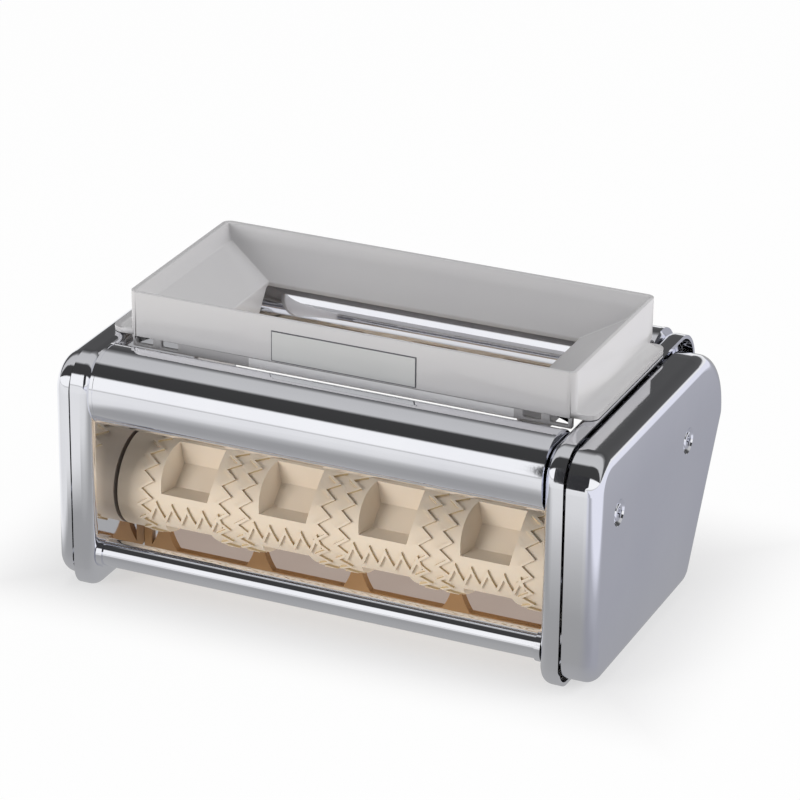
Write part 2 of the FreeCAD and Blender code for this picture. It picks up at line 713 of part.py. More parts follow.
def involute_flank(base_radius, tip_radius, start_radius):
    """Radius and roll angle along an involute, from its foot to the tip."""
    flank = []
    for step in range(FLANK_STEPS + 1):
        radius = start_radius + (tip_radius - start_radius) * step / FLANK_STEPS
        tangent = math.sqrt(max(radius ** 2 - base_radius ** 2, 0.0)) / base_radius
        flank.append((radius, tangent - math.atan(tangent)))
    return flank


def gear(teeth, y, z, side, first_tooth, bore_radius):
    """A spur gear whose first tooth points at an angle in the YZ plane, counted from +Y to +Z."""
    pitch_radius = GEAR_MODULE * teeth / 2
    pressure = math.radians(PRESSURE_ANGLE)
    base_radius = pitch_radius * math.cos(pressure)
    tip_radius = pitch_radius + GEAR_TIP_FACTOR * GEAR_MODULE
    root_radius = pitch_radius - GEAR_ROOT_FACTOR * GEAR_MODULE
    start_radius = max(base_radius, root_radius)
    half_tooth = (math.pi * GEAR_MODULE / 2 - GEAR_BACKLASH) / 2 / pitch_radius
    half_tooth += math.tan(pressure) - pressure
    flank = involute_flank(base_radius, tip_radius, start_radius)
    x = side * GEAR_START

    def point(radius, angle):
        return Vector(x, y + radius * math.cos(angle), z + radius * math.sin(angle))

    edges = []
    pitch_angle = 2 * math.pi / teeth
    for tooth in range(teeth):
        middle = math.radians(first_tooth) + tooth * pitch_angle
        rising = [point(r, middle - half_tooth + roll) for r, roll in flank]
        falling = [point(r, middle + half_tooth - roll) for r, roll in reversed(flank)]
        foot = [point(root_radius, middle - half_tooth), point(root_radius, middle + half_tooth)]
        next_foot = point(root_radius, middle + pitch_angle - half_tooth)
        edges.append(Part.makePolygon([foot[0]] + rising))
        edges.append(Part.Arc(rising[-1], point(tip_radius, middle), falling[0]).toShape())
        edges.append(Part.makePolygon(falling + [foot[1]]))
        edges.append(Part.Arc(foot[1], point(root_radius, middle + pitch_angle / 2), next_foot).toShape())
    loose = [edge for piece in edges for edge in piece.Edges]
    outline = Part.Wire(Part.__sortEdges__(loose))
    blank = Part.Face(outline).extrude(Vector(side * GEAR_WIDTH, 0, 0))
    bore = cylinder(y, z, bore_radius, side * GEAR_START, side * GEAR_END)
    return blank.cut(bore.cut(flat_cut(y, z, bore_radius, side)))


def angle_between(y0, z0, y1, z1):
    """The angle of the line from one axis to another, counted from +Y to +Z."""
    return math.degrees(math.atan2(z1 - z0, y1 - y0))


def facing_gap(angle, teeth):
    """The tooth angle of a gear whose mate shows it a tooth from the opposite direction."""
    return angle + 180 + 180.0 / teeth


# Crank socket

def crank_socket():
    """Hollow shaft that takes the end of a loose crank; two slots take the crank's cross pin."""
    inner = -(HALF_INNER - 2 * RING_SIDE_GAP - 2 * RING_THICKNESS)
    outer = -SOCKET_END
    socket = cylinder(CRANK_Y, CRANK_Z, SOCKET_RADIUS, inner, outer)
    bore = cylinder(CRANK_Y, CRANK_Z, SOCKET_BORE_RADIUS, outer + SOCKET_BORE_DEPTH, outer)
    reach = SOCKET_BORE_RADIUS + SOCKET_SLOT_DEPTH
    half = SOCKET_SLOT_WIDTH / 2
    slots = box((outer, outer + SOCKET_SLOT_LENGTH), (CRANK_Y - reach, CRANK_Y + reach),
                (CRANK_Z - half, CRANK_Z + half))
    grooves = []
    for start in (socket_ring_start(), GEAR_END):
        ends = (-start, -(start + RING_THICKNESS))
        groove = cylinder(CRANK_Y, CRANK_Z, SOCKET_RADIUS + 1, *ends)
        grooves.append(groove.cut(cylinder(CRANK_Y, CRANK_Z, SOCKET_RADIUS - RING_GROOVE_DEPTH, *ends)))
    flat = flat_cut(CRANK_Y, CRANK_Z, SOCKET_RADIUS, -1)
    return socket.cut([bore, slots, flat] + grooves)


def socket_ring_start():
    """How far from the middle the socket's inner clip starts."""
    return HALF_INNER - RING_SIDE_GAP - RING_THICKNESS


def crank_rings():
    """The clips on both sides of the crank bush and its pinion."""
    return group([
        retaining_ring(CRANK_Y, CRANK_Z, SOCKET_RADIUS, -1, start)
        for start in (socket_ring_start(), GEAR_END)
    ])


# Hopper

def rectangle(z, inset_x, front, back, half_width=None):
    """A horizontal rectangle wire of the funnel."""
    half = HOPPER_WIDTH / 2 - inset_x if half_width is None else half_width
    loop = [Vector(-half, front, z), Vector(half, front, z), Vector(half, back, z), Vector(-half, back, z)]
    return Part.makePolygon(loop + loop[:1])


def upright_block(half_width, front, back, bottom, top, radius):
    """A block with rounded upright edges."""
    block = box((-half_width, half_width), (front, back), (bottom, top))
    upright = [e for e in block.Edges if abs(e.Vertexes[0].Z - e.Vertexes[1].Z) > 1e-6]
    return block.makeFillet(radius, upright)


def funnel_space(shift):
    """The sloping lower part of the funnel, lowered by shift."""
    band_inset = HOPPER_WALL + FUNNEL_BAND_INSET
    band = rectangle(HOPPER_TOP - FUNNEL_BAND_DEPTH - shift, band_inset,
                     HOPPER_FRONT_Y + band_inset, HOPPER_BACK_Y - band_inset)
    mouth = rectangle(MOUTH_Z - shift, 0.0, MOUTH_FRONT_Y, MOUTH_BACK_Y, MOUTH_WIDTH / 2)
    return Part.makeLoft([mouth, band], True, True)


def cheek(side):
    """The plate at one end of the mouth that keeps the filling over the nip."""
    drop = CHEEK_DROP
    front = (NIP_Y - (MOUTH_BACK_Y - CHEEK_RAKE * drop - NIP_Y))
    loop = [
        (MOUTH_FRONT_Y, MOUTH_Z), (MOUTH_BACK_Y, MOUTH_Z),
        (MOUTH_BACK_Y - CHEEK_RAKE * drop, MOUTH_Z - drop), (max(front, MOUTH_FRONT_Y), MOUTH_Z - drop),
    ]
    x = side * MOUTH_WIDTH / 2
    return flat_face([Vector(x, y, z) for y, z in loop]).extrude(Vector(side * CHEEK_SHEET, 0, 0))


def front_skirt():
    """The recessed strip below the front wall, with two windows near each end."""
    front = HOPPER_FRONT_Y + SKIRT_RECESS
    skirt = box((-SKIRT_HALF, SKIRT_HALF), (front, front + SKIRT_SHEET),
                (HOPPER_BASE - SKIRT_DROP, HOPPER_BASE + HOPPER_WALL))
    top = HOPPER_BASE - HOPPER_BASE_GAP
    windows = []
    for side in SIDES:
        for start in WINDOW_STARTS:
            windows.append(box((side * start, side * (start + WINDOW_WIDTH)),
                               (front - 1, front + SKIRT_SHEET + 1), (top - WINDOW_HEIGHT, top)))
    return skirt.cut(windows)


def hopper():
    """The lift-off funnel: a rounded box wall, a sloping floor, end cheeks and feet."""
    half = HOPPER_WIDTH / 2
    outside = upright_block(half, HOPPER_FRONT_Y, HOPPER_BACK_Y, HOPPER_BASE, HOPPER_TOP,
                            HOPPER_CORNER_RADIUS)
    band_bottom = HOPPER_TOP - FUNNEL_BAND_DEPTH
    inner_radius = HOPPER_CORNER_RADIUS - HOPPER_WALL
    hollow = upright_block(half - HOPPER_WALL, HOPPER_FRONT_Y + HOPPER_WALL, HOPPER_BACK_Y - HOPPER_WALL,
                           HOPPER_BASE, band_bottom - FUNNEL_SHEET, inner_radius)
    rim = rectangle(HOPPER_TOP, HOPPER_WALL, HOPPER_FRONT_Y + HOPPER_WALL, HOPPER_BACK_Y - HOPPER_WALL)
    band_inset = HOPPER_WALL + FUNNEL_BAND_INSET
    band = rectangle(band_bottom, band_inset, HOPPER_FRONT_Y + band_inset, HOPPER_BACK_Y - band_inset)
    upper = Part.makeLoft([band, rim], True, True)
    skin = funnel_space(FUNNEL_SHEET)
    shaft = box((-MOUTH_WIDTH / 2, MOUTH_WIDTH / 2), (MOUTH_FRONT_Y, MOUTH_BACK_Y),
                (MOUTH_Z - CHEEK_DROP, band_bottom))
    feet = [
        upright_block(FOOT_REACH, FOOT_FRONT_Y, FOOT_BACK_Y, HOPPER_BASE, HOPPER_BASE + FOOT_THICKNESS,
                      FOOT_CORNER_RADIUS).common(
            box((side * (half - HOPPER_WALL), side * FOOT_REACH), (FOOT_FRONT_Y, FOOT_BACK_Y),
                (HOPPER_BASE, HOPPER_TOP)))
        for side in SIDES
    ]
    walls = outside.cut(hollow)
    body = fuse([walls, skin, front_skirt()] + feet + [cheek(side) for side in SIDES])
    body = body.cut([upper, funnel_space(0.0), shaft])
    dough_path = cylinder(TOP_COVER_REAR_Y, TOP_COVER_Z, TOP_COVER_RADIUS + DOUGH_GAP, -half, half)
    return body.cut([dough_path, label_space(0.0)])


def label_space(extra):
    """The block that the label plate fills; extra is how far it stands in front of the wall."""
    low = HOPPER_BASE + LABEL_LIFT
    return box((LABEL_LEFT_X, LABEL_LEFT_X + LABEL_WIDTH),
               (HOPPER_FRONT_Y - extra, HOPPER_FRONT_Y + LABEL_SINK), (low, low + LABEL_HEIGHT))


def label_plate():
    """The bare plate let into the hopper's front wall."""
    return label_space(LABEL_THICKNESS - LABEL_SINK)


# Scraper combs

def comb_places():
    """Each comb's roller axis and the middle of its bar."""
    return (
        (ROLLER_FRONT_Y, ROLLER_FRONT_Y + COMB_OFFSET_Y),
        (ROLLER_REAR_Y, ROLLER_REAR_Y - COMB_OFFSET_Y),
    )


def comb_screw_places():
    """Where the comb lugs are screwed to the frames."""
    return [(comb_y, COMB_Z + COMB_LUG_HEIGHT - COMB_SCREW_DROP) for _, comb_y in comb_places()]


def comb_finger(middle, front_y):
    """A finger that narrows upward in a hollow curve into the lane between two cell columns."""
    flare = (COMB_FINGER_FOOT - COMB_FINGER_TIP) / 2
    sizes = []
    for step in range(COMB_FINGER_STEPS + 1):
        share = step / COMB_FINGER_STEPS
        half = COMB_FINGER_TIP / 2 + flare * (1 - share) ** 2
        sizes.append((half, COMB_Z + share * COMB_TIP_HEIGHT))
    loop = [Vector(middle - half, front_y, z) for half, z in sizes]
    loop += [Vector(middle + half, front_y, z) for half, z in reversed(sizes)]
    return flat_face(loop).extrude(Vector(0, COMB_BAR_DEPTH, 0))


def scraper_comb(roller_y, comb_y):
    """A low bar across the machine with a lug at each end and a finger in each lane."""
    half = HALF_INNER - COMB_END_GAP
    front_y = comb_y - COMB_BAR_DEPTH / 2
    depth = (front_y, front_y + COMB_BAR_DEPTH)
    pieces = [box((-half, half), depth, (COMB_Z, COMB_Z + COMB_BAR_HEIGHT))]
    for side in SIDES:
        pieces.append(box((side * (half - COMB_LUG_WIDTH), side * half), depth,
                          (COMB_Z, COMB_Z + COMB_LUG_HEIGHT)))
    for index in range(COLUMNS + 1):
        pieces.append(comb_finger((index - COLUMNS / 2) * COLUMN_PITCH, front_y))
    swept = cylinder(roller_y, ROLLER_Z, RIDGE_RADIUS + COMB_FINGER_GAP, -half, half)
    screw_z = COMB_Z + COMB_LUG_HEIGHT - COMB_SCREW_DROP
    tapped = [
        cylinder(comb_y, screw_z, COMB_SCREW_RADIUS, side * (PLATE_OUTER - COMB_SCREW_LENGTH), side * half)
        for side in SIDES
    ]
    return fuse(pieces).cut([swept] + tapped)


def comb_screws():
    """Four small screws through the frame plates into the comb bars."""
    return group([
        cross_head_screw(side, y, z, PLATE_OUTER, COMB_SCREW_HEAD_RADIUS, COMB_SCREW_HEAD_HEIGHT,
                         COMB_SCREW_RADIUS, COMB_SCREW_LENGTH)
        for side in SIDES for y, z in comb_screw_places()
    ])


# Mounting rails

def mounting_rail(side):
    """An angle on the frame's raked rear edge that slides over the machine it is used on."""
    rake = Vector(0, BODY_DEPTH - REAR_FOOT_Y, REAR_KNEE_Z).normalize()
    inward = Vector(0, -rake.z, rake.y)
    start = Vector(side * HALF_INNER, REAR_FOOT_Y, 0) + rake * RAIL_START + inward * RAIL_EDGE_GAP

    def strip(width, reach):
        loop = [start, start + rake * RAIL_LENGTH, start + rake * RAIL_LENGTH + inward * width,
                start + inward * width]
        return flat_face(loop).extrude(Vector(-side * reach, 0, 0))

    leg = strip(RAIL_LEG, RAIL_THICKNESS)
    hook = strip(RAIL_THICKNESS, RAIL_THICKNESS + RAIL_HOOK)
    return leg.fuse(hook).removeSplitter()


# The whole machine

def build():
    """Every node by name."""
    crank_direction = angle_between(ROLLER_REAR_Y, ROLLER_Z, CRANK_Y, CRANK_Z)
    nodes = {}
    for side, name in ((-1, "left"), (1, "right")):
        nodes[name + "_side_frame"] = side_frame(side)
        nodes[name + "_side_cover"] = side_cover(side)
        nodes[name + "_cover_screws"] = cover_screws(side)
        nodes[name + "_mounting_rail"] = mounting_rail(side)
    nodes["cover_posts"] = cover_posts()
    nodes["front_top_cover"] = top_cover(TOP_COVER_FRONT_Y, True)
    nodes["rear_top_cover"] = top_cover(TOP_COVER_REAR_Y, False)
    nodes["top_cover_discs"] = top_cover_discs()
    rod_names = ("front_tie_rod", "rear_tie_rod", "front_upper_rod", "rear_upper_rod")
    for name, place in zip(rod_names, TIE_RODS):
        nodes[name] = tie_rod(place)
    nodes["tie_rod_ferrules"] = tie_rod_ferrules()
    nodes["tie_rod_washers"] = tie_rod_washers()
    nodes["tie_rod_screws"] = tie_rod_screws()
    nodes["roller_bushes"] = roller_bushes()
    nodes["crank_bush"] = flanged_bush(-1, CRANK_Y, CRANK_Z, SOCKET_RADIUS + RUNNING_GAP, CRANK_BUSH_RADIUS)
    nodes["front_forming_roller"] = forming_roller()
    nodes["rear_forming_roller"] = forming_roller().mirror(Vector(0, NIP_Y, 0), Y_AXIS)
    for name, y, geared in (("front", ROLLER_FRONT_Y, (1,)), ("rear", ROLLER_REAR_Y, SIDES)):
        nodes[name + "_roller_shaft"] = roller_shaft(y, geared)
        nodes[name + "_roller_keys"] = roller_keys(y)
        nodes[name + "_roller_rings"] = roller_rings(y, geared)
    nodes["front_roller_gear"] = gear(ROLLER_GEAR_TEETH, ROLLER_FRONT_Y, ROLLER_Z, 1, 0.0, SHAFT_RADIUS)
    nodes["rear_roller_gear"] = gear(ROLLER_GEAR_TEETH, ROLLER_REAR_Y, ROLLER_Z, 1,
                                     facing_gap(0.0, ROLLER_GEAR_TEETH), SHAFT_RADIUS)
    nodes["driven_gear"] = gear(DRIVEN_GEAR_TEETH, ROLLER_REAR_Y, ROLLER_Z, -1, crank_direction, SHAFT_RADIUS)
    nodes["crank_pinion"] = gear(PINION_TEETH, CRANK_Y, CRANK_Z, -1,
                                 facing_gap(crank_direction, PINION_TEETH), SOCKET_RADIUS)
    nodes["crank_socket"] = crank_socket()
    nodes["crank_rings"] = crank_rings()
    for name, place in zip(("front", "rear"), comb_places()):
        nodes[name + "_scraper_comb"] = scraper_comb(*place)
    nodes["comb_screws"] = comb_screws()
    nodes["hopper"] = hopper()
    nodes["label_plate"] = label_plate()
    return nodes


os.makedirs("parts", exist_ok=True)
for node_name, node_shape in build().items():
    node_shape.translate(ORIGIN_SHIFT)
    node_shape.exportStep("parts/" + node_name + ".step")
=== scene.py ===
import json
import math
import bmesh
import bpy
from mathutils import Matrix, Vector

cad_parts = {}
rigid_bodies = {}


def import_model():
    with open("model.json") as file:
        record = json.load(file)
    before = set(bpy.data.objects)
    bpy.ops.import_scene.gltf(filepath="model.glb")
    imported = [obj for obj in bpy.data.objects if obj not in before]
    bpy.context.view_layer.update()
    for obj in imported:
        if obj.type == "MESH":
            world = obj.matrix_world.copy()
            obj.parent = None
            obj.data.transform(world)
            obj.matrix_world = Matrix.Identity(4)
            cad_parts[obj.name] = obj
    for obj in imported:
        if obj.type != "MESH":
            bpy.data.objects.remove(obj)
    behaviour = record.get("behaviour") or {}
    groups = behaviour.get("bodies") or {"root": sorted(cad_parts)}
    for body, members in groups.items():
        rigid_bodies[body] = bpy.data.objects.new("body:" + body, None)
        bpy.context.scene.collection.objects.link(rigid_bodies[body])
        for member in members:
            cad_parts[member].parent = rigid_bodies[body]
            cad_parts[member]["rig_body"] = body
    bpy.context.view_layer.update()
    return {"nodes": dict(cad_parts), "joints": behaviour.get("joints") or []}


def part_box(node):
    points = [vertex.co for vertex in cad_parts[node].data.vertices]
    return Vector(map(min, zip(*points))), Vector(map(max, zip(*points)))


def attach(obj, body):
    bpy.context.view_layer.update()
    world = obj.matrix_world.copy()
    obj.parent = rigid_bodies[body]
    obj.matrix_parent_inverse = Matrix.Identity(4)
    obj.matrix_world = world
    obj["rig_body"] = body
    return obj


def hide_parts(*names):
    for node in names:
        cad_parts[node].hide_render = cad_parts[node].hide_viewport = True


# Hand cranked ravioli maker: chrome side frames and covers, ivory forming rollers, chrome top
# covers and a light grey hopper. Metres; X runs along the rollers, Y to the back, Z is up.

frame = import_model()
nodes = frame["nodes"]
MM = 0.001
WHITE = (1.0, 1.0, 1.0, 1.0)


# Colours and shader nodes

def linear(red, green, blue):
    """A colour given as 0 to 255 on screen, in the linear values that shaders take."""
    def curve(value):
        share = value / 255
        return share / 12.92 if share <= 0.04045 else ((share + 0.055) / 1.055) ** 2.4
    return (curve(red), curve(green), curve(blue), 1.0)


def add(tree, kind, **settings):
    """Adds a node; settings are its properties, or its inputs where the name starts with in_."""
    node = tree.nodes.new("ShaderNode" + kind)
    for name, value in settings.items():
        if name.startswith("in_"):
            node.inputs[name[3:].replace("_", " ")].default_value = value
        else:
            setattr(node, name, value)
    return node


def feed(tree, value, target):
    """Links an output to an input, or sets the input where the value is a constant."""
    if isinstance(value, bpy.types.NodeSocket):
        tree.links.new(value, target)
    else:
        target.default_value = value


def math_node(tree, operation, *values):
    """A Math node fed by outputs or numbers; returns its output."""
    node = add(tree, "Math", operation=operation)
    for target, value in zip(node.inputs, values):
        feed(tree, value, target)
    return node.outputs[0]


def mix_colours(tree, mask, first, second, blend="MIX"):
    """Runs from the first colour to the second with the mask; each is a colour or an output."""
    mix = add(tree, "Mix", data_type="RGBA", blend_type=blend)
    for name, value in (("Factor", mask), ("A", first), ("B", second)):
        feed(tree, value, mix.inputs[name])
    return mix.outputs["Result"]


def mix_shaders(tree, mask, first, second):
    """The first shader where the mask is 0 and the second where it is 1."""
    mix = add(tree, "MixShader")
    tree.links.new(mask, mix.inputs[0])
    tree.links.new(first.outputs[0], mix.inputs[1])
    tree.links.new(second.outputs[0], mix.inputs[2])
    return mix


def split_place(tree, kind="Object"):
    """One kind of texture coordinates, split in X, Y and Z."""
    where = add(tree, "TexCoord")
    split = add(tree, "SeparateXYZ")
    tree.links.new(where.outputs[kind], split.inputs[0])
    return split.outputs


def smooth_step(tree, value, start, end):
    """0 before start and 1 after end."""
    step = add(tree, "MapRange", interpolation_type="SMOOTHSTEP", in_From_Min=start, in_From_Max=end)
    tree.links.new(value, step.inputs["Value"])
    return step.outputs[0]


def level_ramp(tree, value, stops, low, span):
    """Grey levels along a value; stops are (value, level)."""
    ramp = add(tree, "ValToRGB")
    elements = ramp.color_ramp.elements
    while len(elements) < len(stops):
        elements.new(0.5)
    for element, (where, level) in zip(elements, stops):
        element.position = (where - low) / span
        element.color = (level, level, level, 1)
    share = math_node(tree, "DIVIDE", math_node(tree, "SUBTRACT", value, low), span)
    tree.links.new(share, ramp.inputs[0])
    return ramp.outputs[0]


# Effects that several materials share

def new_group(name, inputs, output):
    """A shader group with named inputs, each a (name, type, default), and one output value."""
    group = bpy.data.node_groups.new(name, "ShaderNodeTree")
    for socket_name, kind, default in inputs:
        socket = group.interface.new_socket(socket_name, in_out="INPUT", socket_type="NodeSocket" + kind)
        socket.default_value = default
    group.interface.new_socket(output, in_out="OUTPUT", socket_type="NodeSocketFloat")
    return group, group.nodes.new("NodeGroupInput"), group.nodes.new("NodeGroupOutput")


def make_drift():
    """Slow change of tone, such as in moulded plastic: a mask from 0 to 1."""
    group, source, target = new_group(
        "tone_drift", [("Scale", "Float", 20.0), ("Detail", "Float", 3.0)], "Mask")
    where = add(group, "TexCoord")
    noise = add(group, "TexNoise", in_Roughness=0.55)
    spread = add(group, "MapRange", in_From_Min=0.3, in_From_Max=0.7)
    group.links.new(where.outputs["Object"], noise.inputs["Vector"])
    group.links.new(source.outputs["Scale"], noise.inputs["Scale"])
    group.links.new(source.outputs["Detail"], noise.inputs["Detail"])
    group.links.new(noise.outputs["Fac"], spread.inputs["Value"])
    group.links.new(spread.outputs["Result"], target.inputs["Mask"])
    return group


def make_grain():
    """Fine skin of a moulding or of polished metal: a height from 0 to 1."""
    group, source, target = new_group(
        "fine_grain",
        [("Fine Scale", "Float", 1500.0), ("Wave Scale", "Float", 30.0), ("Wave Share", "Float", 0.5)],
        "Height")
    where = add(group, "TexCoord")
    fine = add(group, "TexNoise", in_Detail=2.0)
    wave = add(group, "TexNoise", in_Detail=1.0)
    mixed = add(group, "Mix")
    for node, name in ((fine, "Fine Scale"), (wave, "Wave Scale")):
        group.links.new(where.outputs["Object"], node.inputs["Vector"])
        group.links.new(source.outputs[name], node.inputs["Scale"])
    group.links.new(source.outputs["Wave Share"], mixed.inputs["Factor"])
    group.links.new(fine.outputs["Fac"], mixed.inputs["A"])
    group.links.new(wave.outputs["Fac"], mixed.inputs["B"])
    group.links.new(mixed.outputs["Result"], target.inputs["Height"])
    return group


def make_hair_lines():
    """Hair lines along one axis, as turning or wiping leaves on metal: a mask from 0 to 1."""
    group, source, target = new_group(
        "hair_lines", [("Stretch", "Vector", (1, 60, 60)), ("Scale", "Float", 60.0)], "Mask")
    where = add(group, "TexCoord")
    stretched = add(group, "VectorMath", operation="MULTIPLY")
    noise = add(group, "TexNoise", in_Detail=4.0, in_Roughness=0.7)
    group.links.new(where.outputs["Object"], stretched.inputs[0])
    group.links.new(source.outputs["Stretch"], stretched.inputs[1])
    group.links.new(stretched.outputs[0], noise.inputs["Vector"])
    group.links.new(source.outputs["Scale"], noise.inputs["Scale"])
    group.links.new(noise.outputs["Fac"], target.inputs["Mask"])
    return group


TONE_DRIFT = make_drift()
FINE_GRAIN = make_grain()
HAIR_LINES = make_hair_lines()


# Finishes

def new_material(name, **constants):
    """A material with one Principled shader whose constants are set on its own sockets."""
    material = bpy.data.materials.new(name)
    material.use_nodes = True
    tree = material.node_tree
    shader = tree.nodes["Principled BSDF"]
    for socket, value in constants.items():
        shader.inputs[socket.replace("_", " ")].default_value = value
    return material, tree, shader


def place(tree, group, **values):
    """Puts a shared group into a material with its own values; returns what it puts out."""
    node = tree.nodes.new("ShaderNodeGroup")
    node.node_tree = group
    for name, value in values.items():
        node.inputs[name.replace("_", " ")].default_value = value
    return node.outputs[0]


def vary_colour(tree, shader, mask, light, dark):
    """Base Color runs from dark to light with the mask."""
    tree.links.new(mix_colours(tree, mask, dark, light), shader.inputs["Base Color"])


def vary_roughness(tree, shader, mask, low, high):
    """Roughness runs from low to high with the mask."""
    spread = add(tree, "MapRange", in_To_Min=low, in_To_Max=high)
    tree.links.new(mask, spread.inputs["Value"])
    tree.links.new(spread.outputs["Result"], shader.inputs["Roughness"])


def bump(tree, shader, height, depth):
    """Relief from a height, with its depth in metres."""
    relief = add(tree, "Bump", in_Strength=1.0, in_Distance=depth)
    tree.links.new(height, relief.inputs["Height"])
    tree.links.new(relief.outputs["Normal"], shader.inputs["Normal"])


def chrome_finish():
    """Bright plating with a faint haze and the slight waves of pressed sheet."""
    material, tree, shader = new_material("bright_chrome", Metallic=1.0)
    drift = place(tree, TONE_DRIFT, Scale=18.0, Detail=4.0)
    vary_colour(tree, shader, drift, light=linear(243, 244, 248), dark=linear(236, 237, 243))
    lines = place(tree, HAIR_LINES, Stretch=(1, 14, 14), Scale=120.0)
    vary_roughness(tree, shader, lines, low=0.03, high=0.085)
    grain = place(tree, FINE_GRAIN, Fine_Scale=900.0, Wave_Scale=24.0, Wave_Share=0.96)
    bump(tree, shader, grain, depth=0.06 * MM)
    return material


def steel_finish():
    """Turned steel with fine lines."""
    material, tree, shader = new_material("turned_steel", Metallic=1.0)
    drift = place(tree, TONE_DRIFT, Scale=90.0, Detail=3.0)
    vary_colour(tree, shader, drift, light=linear(214, 214, 216), dark=linear(186, 187, 191))
    lines = place(tree, HAIR_LINES, Stretch=(40, 1, 1), Scale=160.0)
    vary_roughness(tree, shader, lines, low=0.18, high=0.36)
    bump(tree, shader, lines, depth=0.01 * MM)
    return material


def bronze_finish():
    """Sintered bronze with a dull, grainy skin."""
    material, tree, shader = new_material("sintered_bronze", Metallic=1.0)
    drift = place(tree, TONE_DRIFT, Scale=160.0, Detail=4.0)
    vary_colour(tree, shader, drift, light=linear(196, 150, 92), dark=linear(158, 112, 64))
    vary_roughness(tree, shader, drift, low=0.34, high=0.5)
    grain = place(tree, FINE_GRAIN, Fine_Scale=4000.0, Wave_Scale=300.0, Wave_Share=0.2)
    bump(tree, shader, grain, depth=0.04 * MM)
    return material


def moulded_finish(name, light, dark, roughness, grain_depth, wave_share, detail=None, **constants):
    """Moulded plastic: slow tone drift, a little flow wave and a fine skin."""
    material, tree, shader = new_material(name, **constants)
    drift = place(tree, TONE_DRIFT, Scale=26.0, Detail=3.0)
    vary_colour(tree, shader, drift, light, dark)
    mottle = place(tree, TONE_DRIFT, Scale=70.0, Detail=2.0)
    vary_roughness(tree, shader, mottle, low=roughness - 0.02, high=roughness + 0.03)
    grain = place(tree, FINE_GRAIN, Fine_Scale=2600.0, Wave_Scale=45.0, Wave_Share=wave_share)
    bump(tree, shader, grain, grain_depth)
    if detail is not None:
        detail(tree, shader)
    return material


def tint(tree, shader, mask, colour, blend="MULTIPLY"):
    """Lays a colour over what feeds Base Color, where the mask is 1."""
    base = shader.inputs["Base Color"]
    tree.links.new(mix_colours(tree, mask, base.links[0].from_socket, colour, blend), base)


def roller_axis(joint_name):
    """Y and Z of the axis that a roller turns on."""
    joint = next(joint for joint in frame["joints"] if joint["name"] == joint_name)
    return joint["pos_m"][1:]


# The crimping ridges stand between these radii on both rollers
RIDGE_FOOT = 17.58 * MM
RIDGE_CREST = 18.22 * MM
ROLLER_AXES = (roller_axis("front_roller_spin"), roller_axis("rear_roller_spin"))
# Painted shade on the ridges' steep sides, darker and yellower than the rest of the roller
FLANK_SHADE_TONE = linear(226, 216, 186)


def shade_ridge_flanks(tree, shader):
    """Painted shade: the steep sides of the crimping ridges are coloured darker and yellower."""
    spot = split_place(tree)
    radii = []
    for y, z in ROLLER_AXES:
        across = math_node(tree, "POWER", math_node(tree, "SUBTRACT", spot[1], y), 2.0)
        upward = math_node(tree, "POWER", math_node(tree, "SUBTRACT", spot[2], z), 2.0)
        radii.append(math_node(tree, "SQRT", math_node(tree, "ADD", across, upward)))
    radius = math_node(tree, "MINIMUM", *radii)
    above = math_node(tree, "GREATER_THAN", radius, RIDGE_FOOT)
    below = math_node(tree, "LESS_THAN", radius, RIDGE_CREST)
    tint(tree, shader, math_node(tree, "MULTIPLY", above, below), FLANK_SHADE_TONE)


LABEL_LOW, LABEL_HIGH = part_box("label_plate")
LABEL_LINE = 0.4 * MM
LABEL_LINE_TONE = linear(128, 128, 134)


def line_label_edge(tree, shader):
    """A thin darker line runs round the label plate."""
    spot = split_place(tree)
    edges = []
    for axis in (0, 2):
        middle = (LABEL_LOW[axis] + LABEL_HIGH[axis]) / 2
        inner_half = (LABEL_HIGH[axis] - LABEL_LOW[axis]) / 2 - LABEL_LINE
        away = math_node(tree, "ABSOLUTE", math_node(tree, "SUBTRACT", spot[axis], middle))
        edges.append(math_node(tree, "GREATER_THAN", away, inner_half))
    tint(tree, shader, math_node(tree, "MAXIMUM", *edges), LABEL_LINE_TONE)


# The strip on the hopper's front wall, measured from the label plate, and the depth it ends at
STRIP_X = (LABEL_LOW.x - 9.1 * MM, LABEL_HIGH.x + 35.7 * MM)
STRIP_Z = (LABEL_LOW.z - 4.4 * MM, LABEL_LOW.z - 1.0 * MM)
STRIP_BACK_Y = -20.0 * MM
STRIP_TONE = linear(246, 246, 248)


def lighten_strip(tree, shader):
    """The strip along the foot of the front wall is coloured lighter, nearly white."""
    spot = split_place(tree)
    mask = math_node(tree, "LESS_THAN", spot[1], STRIP_BACK_Y)
    for axis, (low, high) in ((0, STRIP_X), (2, STRIP_Z)):
        above = math_node(tree, "GREATER_THAN", spot[axis], low)
        below = math_node(tree, "LESS_THAN", spot[axis], high)
        mask = math_node(tree, "MULTIPLY", mask, math_node(tree, "MULTIPLY", above, below))
    tint(tree, shader, mask, STRIP_TONE, blend="MIX")


